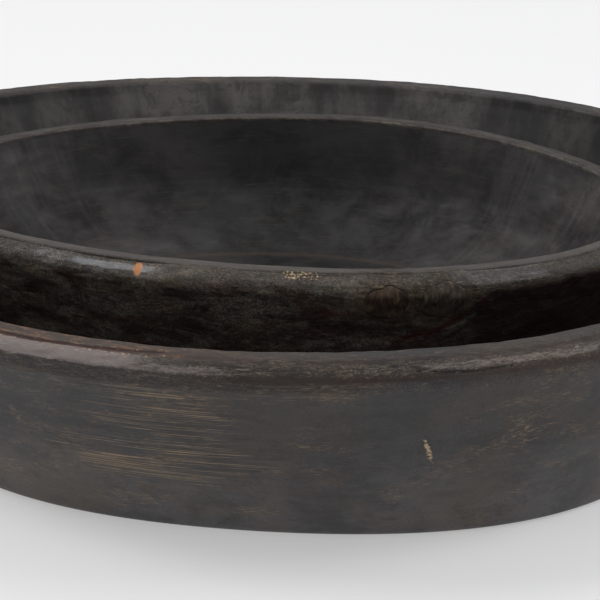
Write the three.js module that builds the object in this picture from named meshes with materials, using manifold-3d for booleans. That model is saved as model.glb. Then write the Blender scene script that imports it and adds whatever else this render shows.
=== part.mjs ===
// A nest of two hand-carved wooden bowls: a smaller oval bowl rests loose on the floor of a
// larger round one. Two dead knots, separate pieces of wood, sit in pockets in the front of
// the small bowl, just under its rim.
//
// Millimetres. +X is right, +Y is back, +Z is up. The origin is on the ground, under the
// middle of the large bowl's rim.

import * as THREE from 'three';
import { mergeVertices } from 'three/addons/utils/BufferGeometryUtils.js';
import Module from 'manifold-3d';

const wasm = await Module();
wasm.setup();

const GAP = 0.3; // clearance between pieces that touch
const TURN_STEPS = 72; // facets round a bowl
const ARC_STEPS = 5; // facets along each rounded edge

// Each bowl is turned from a profile and then made as uneven as handwork. A lobe is
// [waves round the bowl, share of the radius, degrees of its first crest], a sway is
// [waves round the bowl, millimetres of rim height, degrees of its first crest], and a flat
// is [share of the radius cut away, degrees of its middle, degrees from there to its end].
const OUTER = {
  height: 80,
  rimRadius: 205, // where the outside's line meets the rim's height, before rounding
  baseRadius: 155,
  lip: 19.5, // from rimRadius in to the rim's inner edge
  wall: 15, // level thickness of the wall below the rim
  floor: 16,
  bulge: 1.5, // how far the outside swells at mid height
  shoulder: 7, // rounding of the rim's outer edge
  lipEdge: 2.5, // rounding of the rim's inner edge
  foot: 6, // rounding of the base's edge
  cove: 30, // rounding where the inner wall meets the floor
  rimOval: { long: 205, short: 205, turn: 0 },
  baseOval: { long: 158, short: 156, turn: 0 },
  rimCentre: [0, 0],
  baseCentre: [5, -3.5],
  rimLobes: [[2, 0.0135, -5.5], [3, 0.005, 36], [4, 0.0045, -6.5]],
  baseLobes: [[2, 0.006, -54], [3, 0.011, -45]],
  baseFlats: [[0.046, -93, 46]],
  rimSway: [[1, 0.95, -120], [2, 1.1, -13.5], [3, 1.2, 30]],
};

const INNER = {
  height: 64.5,
  rimRadius: 127,
  baseRadius: 104,
  lip: 9,
  wall: 13,
  floor: 16,
  bulge: 1.5,
  shoulder: 5,
  lipEdge: 1.5,
  foot: 8,
  cove: 45,
  rimOval: { long: 147, short: 109.7, turn: -6 },
  baseOval: { long: 122, short: 90, turn: -6 },
  rimCentre: [-2, 2],
  baseCentre: [-1, 1],
  rimLobes: [[2, 0.003, -25], [3, 0.0115, -43], [4, 0.0033, 3]],
  baseLobes: [[3, 0.01, -43]],
  baseFlats: [],
  rimSway: [[1, 0.6, 158], [2, 0.8, 62], [3, 0.5, 51]],
};
// The small rim is a flat lip, then a line cut round it, then a rounded shoulder that stands
// out past the lip. Each is [out from rimRadius, down from the rim's height].
const GROOVE_IN = [-3.2, 0];
const GROOVE_BOTTOM = [-2.7, 1];
const GROOVE_OUT = [-2.2, 0.4];
const SHOULDER = [3.5, 4.5];
const SWAY_START = 0.35; // share of the height where the rim's waves begin

// A knot is a tapered oval plug. at is the middle of its face on the small bowl's profile,
// [r, z], lean is how far it points down from level, and stretch is its height over width.
const KNOTS = [
  { name: 'inner_knot_left', angle: -70.3, at: [126.0, 55.4], lean: 18, radius: 7.8, stretch: 0.94 },
  { name: 'inner_knot_right', angle: -60.5, at: [126.9, 55.2], lean: -2, radius: 8.2, stretch: 0.98 },
];
const KNOT_STEPS = 16;
const KNOT_DEPTH = 6;
const KNOT_PROUD = 1.4; // how far the face stands out of the wall
const KNOT_TAPER = 0.72; // radius at the buried end, as a share of the face's

const MATERIALS = {
  outer_bowl: { color: 0x2b2724, roughness: 0.5, metalness: 0 },
  inner_bowl: { color: 0x241f1e, roughness: 0.4, metalness: 0 },
  inner_knot_left: { color: 0x3a2620, roughness: 0.6, metalness: 0 },
  inner_knot_right: { color: 0x40352c, roughness: 0.75, metalness: 0 },
};

const radians = THREE.MathUtils.degToRad;
const mix = THREE.MathUtils.lerp;

// Profiles ---------------------------------------------------------------------------------

// Rounds each corner [r, z, radius] of a profile with an arc that meets both sides smoothly.
function roundedProfile(corners) {
  const points = [];
  corners.forEach(([r, z, radius], i) => {
    const corner = new THREE.Vector2(r, z);
    if (!radius) {
      points.push(corner);
      return;
    }
    const before = new THREE.Vector2(...corners[i - 1]).sub(corner).normalize();
    const after = new THREE.Vector2(...corners[i + 1]).sub(corner).normalize();
    const half = Math.acos(before.dot(after)) / 2;
    const bisector = before.clone().add(after).normalize();
    const centre = corner.clone().addScaledVector(bisector, radius / Math.sin(half));
    const reach = radius / Math.tan(half);
    const from = corner.clone().addScaledVector(before, reach).sub(centre);
    const to = corner.clone().addScaledVector(after, reach).sub(centre);
    const turn = Math.atan2(from.cross(to), from.dot(to));
    for (let k = 0; k <= ARC_STEPS; k += 1) {
      const spoke = from.clone().rotateAround(new THREE.Vector2(), (turn * k) / ARC_STEPS);
      points.push(spoke.add(centre));
    }
  });
  return points;
}

function wallRadius(bowl, z) {
  return mix(bowl.baseRadius, bowl.rimRadius, z / bowl.height);
}

function outerProfile(bowl) {
  const half = bowl.height / 2;
  return roundedProfile([
    [0, 0],
    [bowl.baseRadius, 0, bowl.foot],
    [wallRadius(bowl, half) + bowl.bulge, half],
    [bowl.rimRadius, bowl.height, bowl.shoulder],
    [bowl.rimRadius - bowl.lip, bowl.height, bowl.lipEdge],
    [wallRadius(bowl, half) - bowl.wall, half],
    [wallRadius(bowl, bowl.floor) - bowl.wall, bowl.floor, bowl.cove],
    [0, bowl.floor],
  ]);
}

function innerProfile(bowl) {
  const half = bowl.height / 2;
  const rimPoint = ([out, down]) => [bowl.rimRadius + out, bowl.height - down];
  return roundedProfile([
    [0, 0],
    [bowl.baseRadius, 0, bowl.foot],
    [wallRadius(bowl, half) + bowl.bulge, half],
    [...rimPoint(SHOULDER), bowl.shoulder],
    rimPoint(GROOVE_OUT),
    rimPoint(GROOVE_BOTTOM),
    rimPoint(GROOVE_IN),
    [bowl.rimRadius - bowl.lip, bowl.height, bowl.lipEdge],
    [wallRadius(bowl, bowl.floor) - bowl.wall, bowl.floor, bowl.cove],
    [0, bowl.floor],
  ]);
}

// Carving ----------------------------------------------------------------------------------

function waves(list, angle) {
  return list.reduce((sum, [count, size, crest]) => {
    return sum + size * Math.cos(count * (angle - radians(crest)));
  }, 0);
}

function cutAway(flats, angle) {
  return flats.reduce((sum, [depth, middle, reach]) => {
    const turn = THREE.MathUtils.euclideanModulo(angle - radians(middle), 2 * Math.PI);
    const off = Math.min(turn, 2 * Math.PI - turn);
    const share = Math.min(off / radians(reach), 1);
    return sum + (depth * (1 + Math.cos(Math.PI * share))) / 2;
  }, 0);
}

function ovalRadius({ long, short, turn }, angle) {
  const a = angle - radians(turn);
  return (long * short) / Math.hypot(short * Math.cos(a), long * Math.sin(a));
}

// Moves a point of the turned shape to where the hand-cut bowl has it. Within the wall's
// thickness a point keeps its distance from the outside; nearer the axis it is scaled.
function carvePoint(bowl, point) {
  const angle = Math.atan2(point.y, point.x);
  const radius = Math.hypot(point.x, point.y);
  const up = point.z / bowl.height;
  const rim = ovalRadius(bowl.rimOval, angle) * (1 + waves(bowl.rimLobes, angle));
  const baseShape = 1 + waves(bowl.baseLobes, angle) - cutAway(bowl.baseFlats, angle);
  const base = ovalRadius(bowl.baseOval, angle) * baseShape;
  const even = wallRadius(bowl, point.z);
  const inset = Math.min(even - radius, 1.5 * bowl.wall);
  const carved = (radius * (mix(base, rim, up) - inset)) / (even - inset);
  const swayShare = THREE.MathUtils.smoothstep(up, SWAY_START, 1);
  point.set(
    carved * Math.cos(angle) + mix(bowl.baseCentre[0], bowl.rimCentre[0], up),
    carved * Math.sin(angle) + mix(bowl.baseCentre[1], bowl.rimCentre[1], up),
    point.z + swayShare * waves(bowl.rimSway, angle),
  );
}

// Turns a profile about +Z and keeps only shared corners and faces that have an area.
function turned(profile, steps) {
  const lathe = new THREE.LatheGeometry(profile, steps);
  lathe.rotateX(Math.PI / 2);
  lathe.deleteAttribute('normal');
  lathe.deleteAttribute('uv');
  const merged = mergeVertices(lathe, 1e-4);
  const faces = [];
  for (let i = 0; i < merged.index.count; i += 3) {
    const [a, b, c] = merged.index.array.slice(i, i + 3);
    if (a !== b && b !== c && c !== a) {
      faces.push(a, b, c);
    }
  }
  merged.setIndex(faces);
  return merged;
}

function bowlGeometry(bowl, profile) {
  const geometry = turned(profile, TURN_STEPS);
  const positions = geometry.attributes.position;
  const point = new THREE.Vector3();
  for (let i = 0; i < positions.count; i += 1) {
    point.fromBufferAttribute(positions, i);
    carvePoint(bowl, point);
    positions.setXYZ(i, point.x, point.y, point.z);
  }
  return geometry;
}

// Joining and cutting ----------------------------------------------------------------------

function toSolid(geometry) {
  return new wasm.Manifold(new wasm.Mesh({
    numProp: 3,
    vertProperties: Float32Array.from(geometry.attributes.position.array),
    triVerts: Uint32Array.from(geometry.index.array),
  }));
}

function toGeometry(solid) {
  const mesh = solid.getMesh();
  const geometry = new THREE.BufferGeometry();
  geometry.setAttribute('position', new THREE.BufferAttribute(mesh.vertProperties, 3));
  geometry.setIndex(new THREE.BufferAttribute(mesh.triVerts, 1));
  return geometry;
}

// Knots ------------------------------------------------------------------------------------

// A round plug along +Z: its face bulges above z = 0 and its buried end is below.
// The pocket that it sits in is the same plug made larger by spare and run on past the face.
function knotPlug(knot, spare) {
  const face = knot.radius + spare;
  const end = KNOT_TAPER * knot.radius + spare;
  const buried = -KNOT_DEPTH - spare;
  const cap = spare
    ? [[face, KNOT_DEPTH], [0, KNOT_DEPTH]]
    : [[0.94 * face, 0.5 * KNOT_PROUD], [0.6 * face, 0.9 * KNOT_PROUD], [0, KNOT_PROUD]];
  return turned(roundedProfile([[0, buried], [end, buried], [face, 0], ...cap]), KNOT_STEPS);
}

function knotPoint(knot, turn) {
  const [radius, z] = knot.at;
  const angle = radians(knot.angle + turn);
  const point = new THREE.Vector3(radius * Math.cos(angle), radius * Math.sin(angle), z);
  carvePoint(INNER, point);
  return point;
}

// Puts a plug on the small bowl's outside, facing square to the wall's run and leaning.
function knotPlace(knot) {
  const along = knotPoint(knot, 1).sub(knotPoint(knot, -1)).setZ(0).normalize();
  const level = new THREE.Vector3(along.y, -along.x, 0);
  const facing = level.applyAxisAngle(along, radians(knot.lean));
  const upright = new THREE.Vector3().crossVectors(facing, along);
  const matrix = new THREE.Matrix4().makeBasis(along, upright, facing);
  matrix.scale(new THREE.Vector3(1, knot.stretch, 1));
  return matrix.setPosition(knotPoint(knot, 0));
}

// The nest ---------------------------------------------------------------------------------

function named(name, geometry) {
  const mesh = new THREE.Mesh(geometry, new THREE.MeshStandardMaterial(MATERIALS[name]));
  mesh.name = name;
  return mesh;
}

function innerBowl() {
  let solid = toSolid(bowlGeometry(INNER, innerProfile(INNER)));
  for (const knot of KNOTS) {
    const pocket = knotPlug(knot, GAP).applyMatrix4(knotPlace(knot));
    solid = solid.subtract(toSolid(pocket));
  }
  return named('inner_bowl', toGeometry(solid));
}

function knotMesh(knot) {
  return named(knot.name, knotPlug(knot, 0).applyMatrix4(knotPlace(knot)));
}

const nest = new THREE.Group();
nest.add(named('outer_bowl', bowlGeometry(OUTER, outerProfile(OUTER))));

const lifted = new THREE.Group(); // all that comes away with the small bowl
lifted.position.z = OUTER.floor + GAP;
lifted.add(innerBowl(), ...KNOTS.map(knotMesh));
nest.add(lifted);

export default nest;
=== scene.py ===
"""A nest of two dark hand-carved wooden bowls on a pale studio floor.

The two bowls and the two knots are built here as fine meshes from the same driving sizes as
the CAD model, with the dents, cracks and raised fibres that handwork and use leave, and each
one stands for its CAD node. Sizes are in millimetres until a mesh is made.
"""

import math

import bpy
import numpy as np
from mathutils import Matrix, Vector


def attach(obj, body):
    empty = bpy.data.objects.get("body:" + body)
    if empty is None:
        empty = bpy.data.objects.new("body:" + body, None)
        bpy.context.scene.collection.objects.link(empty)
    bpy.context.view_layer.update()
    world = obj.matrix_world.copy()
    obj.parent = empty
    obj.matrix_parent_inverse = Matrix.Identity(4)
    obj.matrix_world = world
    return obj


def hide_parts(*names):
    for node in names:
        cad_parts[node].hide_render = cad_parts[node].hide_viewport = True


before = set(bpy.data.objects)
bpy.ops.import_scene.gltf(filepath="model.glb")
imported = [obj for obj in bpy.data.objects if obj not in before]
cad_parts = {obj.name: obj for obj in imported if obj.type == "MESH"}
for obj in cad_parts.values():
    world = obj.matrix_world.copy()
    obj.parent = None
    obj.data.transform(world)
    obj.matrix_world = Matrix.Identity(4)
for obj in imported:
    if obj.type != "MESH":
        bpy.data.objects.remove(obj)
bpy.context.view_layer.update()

MM = 0.001
GAP = 0.3  # between pieces that touch

# Sizes of the bowls --------------------------------------------------------------------------

# Each bowl is turned from a profile and then made as uneven as handwork. rim is where the line
# of the outside meets the height, before rounding, and sweep rounds the bulge at mid height. An
# oval is (long, short, turn), a lobe (waves round the bowl, share of the radius, degrees of a
# crest), a sway (waves, millimetres up, degrees of a crest), and a flat (share of the radius cut
# away, degrees of its middle, degrees from there to its end).
OUTER = dict(
    height=80.0, rim=205.0, base=155.0, lip=19.5, wall=15.0, floor=16.0, bulge=1.5,
    sweep=150.0, shoulder=7.0, lip_edge=2.5, foot=6.0, cove=30.0, lift=0.0,
    rim_oval=(205.0, 205.0, 0.0), base_oval=(158.0, 156.0, 0.0),
    rim_centre=(0.0, 0.0), base_centre=(5.0, -3.5),
    rim_lobes=[(2, 0.0135, -5.5), (3, 0.005, 36), (4, 0.0045, -6.5)],
    base_lobes=[(2, 0.006, -54), (3, 0.011, -45)],
    base_flats=[(0.046, -93, 46)],
    rim_sway=[(1, 0.95, -120), (2, 1.1, -13.5), (3, 1.2, 30)],
)
INNER = dict(
    height=64.5, rim=127.0, base=104.0, lip=9.0, wall=13.0, floor=16.0, bulge=1.5,
    sweep=60.0, shoulder=5.0, lip_edge=1.5, foot=8.0, cove=45.0, lift=OUTER["floor"] + GAP,
    rim_oval=(147.0, 109.7, -6.0), base_oval=(122.0, 90.0, -6.0),
    rim_centre=(-2.0, 2.0), base_centre=(-1.0, 1.0),
    rim_lobes=[(2, 0.003, -25), (3, 0.0115, -43), (4, 0.0033, 3)],
    base_lobes=[(3, 0.01, -43)],
    base_flats=[],
    rim_sway=[(1, 0.6, 158), (2, 0.8, 62), (3, 0.5, 51)],
)
# The small rim is a flat lip, then a line cut round it, then a rounded shoulder that stands out
# past the lip. Each is (out from the rim's radius, up from its height, rounding).
INNER_RIM = [
    (3.5, -4.5, INNER["shoulder"]),
    (-2.2, -0.4, 0.2),
    (-2.7, -1.2, 0.2),
    (-3.2, 0.0, 0.5),
]
SWAY_START = 0.35  # share of the height where the rim's waves begin
# at is the middle of a knot's face on the small bowl's profile, lean how far it points down in
# degrees, stretch its height over its width, and dome how far its face swells past the wall.
KNOTS = {
    "inner_knot_left": dict(
        angle=-70.3, at=(126.0, 55.4), lean=18.0, radius=7.8, stretch=0.94, swell=1.1, dome=0.5,
    ),
    "inner_knot_right": dict(
        angle=-60.5, at=(126.9, 55.2), lean=-2.0, radius=8.2, stretch=0.98, swell=0.5, dome=0.4,
    ),
}
KNOT_SUNK = 4.4  # how far a knot reaches into the wall
POCKET = 2.5  # how far the wall sinks under a knot
FAR = 9.0  # distances to a line or a spot stop growing here


# Shapes --------------------------------------------------------------------------------------

def mix(a, b, share):
    return a + (b - a) * share


def smooth(low, high, value):
    share = np.clip((value - low) / (high - low), 0.0, 1.0)
    return share * share * (3.0 - 2.0 * share)


def wrap(degrees):
    """An angle's difference from 0, between -180 and 180."""
    return (degrees + 180.0) % 360.0 - 180.0


def noise(points, scale, seed):
    """Smooth value noise from -1 to 1. scale is how far apart its lattice points are.

    Each lattice point's value is a hash of its place and the seed, so it is the same every run.
    """
    cell = points / np.asarray(scale, float)
    low = np.floor(cell).astype(np.int64)
    part = cell - low
    part = part * part * (3.0 - 2.0 * part)
    total = np.zeros(points.shape[:-1])
    for corner in range(8):
        step = np.array([corner & 1, corner >> 1 & 1, corner >> 2 & 1])
        at = low + step
        code = at[..., 0] * 73856093 ^ at[..., 1] * 19349663 ^ at[..., 2] * 83492791
        code = (code + seed * 2654435761) & 0xFFFFFFFF
        code = (code ^ code >> 15) * 2246822519 & 0xFFFFFFFF
        code = (code ^ code >> 13) * 3266489917 & 0xFFFFFFFF
        value = (code ^ code >> 16) / 2147483648.0 - 1.0
        total += value * np.prod(np.where(step == 1, part, 1.0 - part), axis=-1)
    return total


def rounded_profile(corners, steps=14):
    """Points of a profile whose corners (r, z, radius) are rounded by arcs."""
    points = []
    for i, corner in enumerate(corners):
        at = np.array(corner[:2], float)
        if len(corner) == 2:
            points.append(at)
            continue
        before = np.array(corners[i - 1][:2]) - at
        after = np.array(corners[i + 1][:2]) - at
        before /= np.linalg.norm(before)
        after /= np.linalg.norm(after)
        half = math.acos(float(before @ after)) / 2
        bisector = (before + after) / np.linalg.norm(before + after)
        centre = at + bisector * corner[2] / math.sin(half)
        start = at + before * corner[2] / math.tan(half) - centre
        end = at + after * corner[2] / math.tan(half) - centre
        turn = math.atan2(start[0] * end[1] - start[1] * end[0], float(start @ end))
        for k in range(steps + 1):
            c, s = math.cos(turn * k / steps), math.sin(turn * k / steps)
            points.append(centre + (c * start[0] - s * start[1], s * start[0] + c * start[1]))
    return np.array(points)


def wall_radius(bowl, z):
    """The radius at z on the straight line from the base's edge to the rim's."""
    return mix(bowl["base"], bowl["rim"], z / bowl["height"])


def outer_corners(bowl):
    """The large bowl's profile, from the middle of its base out, over the rim and in."""
    half, top, floor = bowl["height"] / 2, bowl["height"], bowl["floor"]
    return [
        (0.0, 0.0),
        (bowl["base"], 0.0, bowl["foot"]),
        (wall_radius(bowl, half) + bowl["bulge"], half, bowl["sweep"]),
        (bowl["rim"], top, bowl["shoulder"]),
        (bowl["rim"] - bowl["lip"], top, bowl["lip_edge"]),
        (wall_radius(bowl, half) - bowl["wall"], half, bowl["sweep"]),
        (wall_radius(bowl, floor) - bowl["wall"], floor, bowl["cove"]),
        (0.0, floor),
    ]


def inner_corners(bowl):
    """The small bowl's profile, with the line cut round its rim."""
    half, top, floor, rim = bowl["height"] / 2, bowl["height"], bowl["floor"], bowl["rim"]
    return [
        (0.0, 0.0),
        (bowl["base"], 0.0, bowl["foot"]),
        (wall_radius(bowl, half) + bowl["bulge"], half, bowl["sweep"]),
        *[(rim + out, top + up, rounding) for out, up, rounding in INNER_RIM],
        (rim - bowl["lip"], top, bowl["lip_edge"]),
        (wall_radius(bowl, floor) - bowl["wall"], floor, bowl["cove"]),
        (0.0, floor),
    ]


def waves(lobes, angle):
    return sum(size * np.cos(n * (angle - math.radians(crest))) for n, size, crest in lobes)


def oval(axes, angle):
    """The radius of an oval at an angle."""
    long, short, turn = axes
    a = angle - math.radians(turn)
    return long * short / np.hypot(short * np.cos(a), long * np.sin(a))


def cut_away(flats, angle):
    """The share of the radius that flats cut away at an angle."""
    total = np.zeros_like(angle)
    for depth, middle, reach in flats:
        share = np.minimum(np.abs(wrap(np.degrees(angle) - middle)) / reach, 1.0)
        total += depth * (1.0 + np.cos(np.pi * share)) / 2.0
    return total


def carve(bowl, radius, z, angle):
    """Where the hand-cut bowl has the point that an evenly turned one has at radius, z, angle."""
    up = z / bowl["height"]
    rim = oval(bowl["rim_oval"], angle) * (1.0 + waves(bowl["rim_lobes"], angle))
    shape = 1.0 + waves(bowl["base_lobes"], angle) - cut_away(bowl["base_flats"], angle)
    base = oval(bowl["base_oval"], angle) * shape
    even = wall_radius(bowl, z)
    inset = np.minimum(even - radius, 1.5 * bowl["wall"])
    cut = radius * (mix(base, rim, up) - inset) / (even - inset)
    sway = smooth(SWAY_START, 1.0, up) * waves(bowl["rim_sway"], angle)
    return np.stack([
        cut * np.cos(angle) + mix(bowl["base_centre"][0], bowl["rim_centre"][0], up),
        cut * np.sin(angle) + mix(bowl["base_centre"][1], bowl["rim_centre"][1], up),
        z + sway + bowl["lift"] + 0.0 * angle,
    ], axis=-1)


PROFILE_SAMPLES = 6000
WALL_STEP = 2.1  # times the rim's step
FLOOR_STEP = 5.0  # times the rim's step


def spaced(profile, bowl, fine):
    """The profile's points respaced: fine round the rim, coarser on the wall and the floors."""
    length = np.concatenate([[0.0], np.cumsum(np.linalg.norm(np.diff(profile, axis=0), axis=1))])
    dense = np.linspace(0.0, length[-1], PROFILE_SAMPLES)
    r = np.interp(dense, length, profile[:, 0])
    z = np.interp(dense, length, profile[:, 1])
    near_rim = smooth(bowl["height"] - 22.0, bowl["height"] - 8.0, z)
    on_floor = smooth(0.0, 8.0, wall_radius(bowl, z) - 1.3 * bowl["wall"] - r)
    step = mix(mix(WALL_STEP * fine, fine, near_rim), FLOOR_STEP * fine, on_floor)
    count = np.cumsum(1.0 / step)
    rings = int(count[-1] * (dense[1] - dense[0])) + 2
    picked = np.interp(np.linspace(count[0], count[-1], rings), count, dense)
    return np.interp(picked, dense, r), np.interp(picked, dense, z), picked


def uneven_angles(columns, close, middle, reach):
    """Angles round a bowl, packed close times as tight within reach of middle, in degrees."""
    dense = np.linspace(-180.0, 180.0, 7201)  # every twentieth of a degree
    density = 1.0 + (close - 1.0) * (1.0 - smooth(0.6 * reach, reach, np.abs(wrap(dense - middle))))
    count = np.concatenate([[0.0], np.cumsum((density[1:] + density[:-1]) / 2.0)])
    wanted = np.linspace(0.0, count[-1], columns, endpoint=False)
    return np.radians(np.interp(wanted, count, dense))


class Surface:
    """A bowl's fine grid: rings up the profile by columns round it."""

    def __init__(self, bowl, corners, fine, angles):
        self.bowl = bowl
        r, z, run = spaced(rounded_profile(corners), bowl, fine)
        keep = r > 1.5  # a fan closes the middle of each floor
        keep[[0, -1]] = False
        self.r, self.z, run = r[keep], z[keep], run[keep]
        across = np.ones(len(angles))
        self.angle = np.broadcast_to(angles, (len(self.r), len(angles)))
        self.degrees = np.degrees(self.angle)
        self.flat = carve(bowl, self.r[:, None], self.z[:, None], self.angle)
        self.points = self.flat.copy()
        lip = self.z > bowl["height"] - 0.05
        self.out = (run - run[lip].min())[:, None] * across  # < 0 down the outside
        self.inside = (run - run[lip].max())[:, None] * across  # > 0 down the inside
        self.run = run[:, None] * across
        self.values = {}
        self.vectors = {}
        edge = bowl["base"] - 2.0 * bowl["wall"]
        reach = np.minimum(self.r, edge)[:, None]
        self.vectors["skin"] = np.stack([
            reach * np.cos(self.angle) * bowl["rim"] / edge,
            reach * np.sin(self.angle) * bowl["rim"] / edge,
            self.run,
        ], axis=-1) * MM

    def normals(self):
        along = np.gradient(self.flat, axis=0)
        ahead = np.roll(self.flat, -1, axis=1) - np.roll(self.flat, 1, axis=1)
        normal = np.cross(ahead, along)
        return normal / np.maximum(np.linalg.norm(normal, axis=-1, keepdims=True), 1e-9)

    def push(self, amount):
        """Moves the surface out along its normals by amount, in millimetres."""
        self.points += self.normals() * amount[..., None]

    def between(self, start, end, soft):
        """1 from start to end degrees, fading to 0 over soft degrees past them."""
        middle, half = (start + end) / 2.0, (end - start) / 2.0
        return 1.0 - smooth(half, half + soft, np.abs(wrap(self.degrees - middle)))

    def band(self, low, high, soft):
        """1 where out is from low to high millimetres, fading to 0 over soft past them."""
        middle, half = (low + high) / 2.0, (high - low) / 2.0
        return 1.0 - smooth(half, half + soft, np.abs(self.out - middle))

    def patch(self, angle, z, wide, high, soft):
        """1 inside an oval patch of the wall, wide by high millimetres, and 0 outside it."""
        radius = np.hypot(self.flat[..., 0], self.flat[..., 1])
        x = np.radians(wrap(self.degrees - angle)) * radius
        y = self.flat[..., 2] - z
        far = np.hypot(x / (wide / 2), y / (high / 2))
        return 1.0 - smooth(1.0 - soft, 1.0 + soft, far)

    def line(self, places, across=None):
        """Millimetres to a line of places (degrees, out), or (degrees, z) if across is z.

        They stop growing at FAR.
        """
        angles, heights = np.array(places, float).T
        across = self.out if across is None else across
        off = across - np.interp(self.degrees, angles, heights)
        past = np.maximum(angles[0] - self.degrees, self.degrees - angles[-1])
        past = np.maximum(past, 0.0) * math.pi / 180.0 * self.bowl["rim"]
        return np.minimum(np.hypot(off, past), FAR)

    def mask(self, name, amount):
        """Raises a mask of 0 to 1 that the material reads, where amount is more than it is."""
        old = self.values.get(name, np.zeros(self.out.shape))
        self.values[name] = np.clip(np.maximum(old, amount), 0.0, 1.0)

    def build(self, name):
        """The grid as a closed mesh object, with its masks as attributes."""
        rings, columns = self.out.shape
        ends = [self.points[0].mean(axis=0), self.points[-1].mean(axis=0)]
        vertices = np.concatenate([self.points.reshape(-1, 3), ends])
        index = np.arange(rings * columns).reshape(rings, columns)
        ahead = np.roll(index, -1, axis=1)
        quads = np.stack([index[:-1], ahead[:-1], ahead[1:], index[1:]], axis=-1).reshape(-1, 4)
        start, end = rings * columns, rings * columns + 1
        caps = [(start, int(b), int(a)) for a, b in zip(index[0], ahead[0])]
        caps += [(end, int(a), int(b)) for a, b in zip(index[-1], ahead[-1])]
        piece = add_fine(name, vertices, quads.tolist() + caps)
        for key, amount in self.values.items():
            layer = piece.data.attributes.new(key, "FLOAT", "POINT")
            both = np.append(amount.ravel(), [amount[0].mean(), amount[-1].mean()])
            layer.data.foreach_set("value", both.astype(np.float32))
        for key, amount in self.vectors.items():
            layer = piece.data.attributes.new(key, "FLOAT_VECTOR", "POINT")
            both = np.concatenate([amount.reshape(-1, 3), [amount[0].mean(0), amount[-1].mean(0)]])
            layer.data.foreach_set("vector", both.astype(np.float32).ravel())
        return piece


def add_object(name, mesh):
    piece = bpy.data.objects.new(name, mesh)
    bpy.context.scene.collection.objects.link(piece)
    return piece


def add_fine(name, vertices, faces):
    """A smooth-shaded mesh object whose vertices are given in millimetres."""
    mesh = bpy.data.meshes.new(name)
    mesh.from_pydata((vertices * MM).tolist(), [], faces)
    mesh.polygons.foreach_set("use_smooth", np.ones(len(mesh.polygons), bool))
    return add_object(name, mesh)


# Materials -----------------------------------------------------------------------------------

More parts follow.
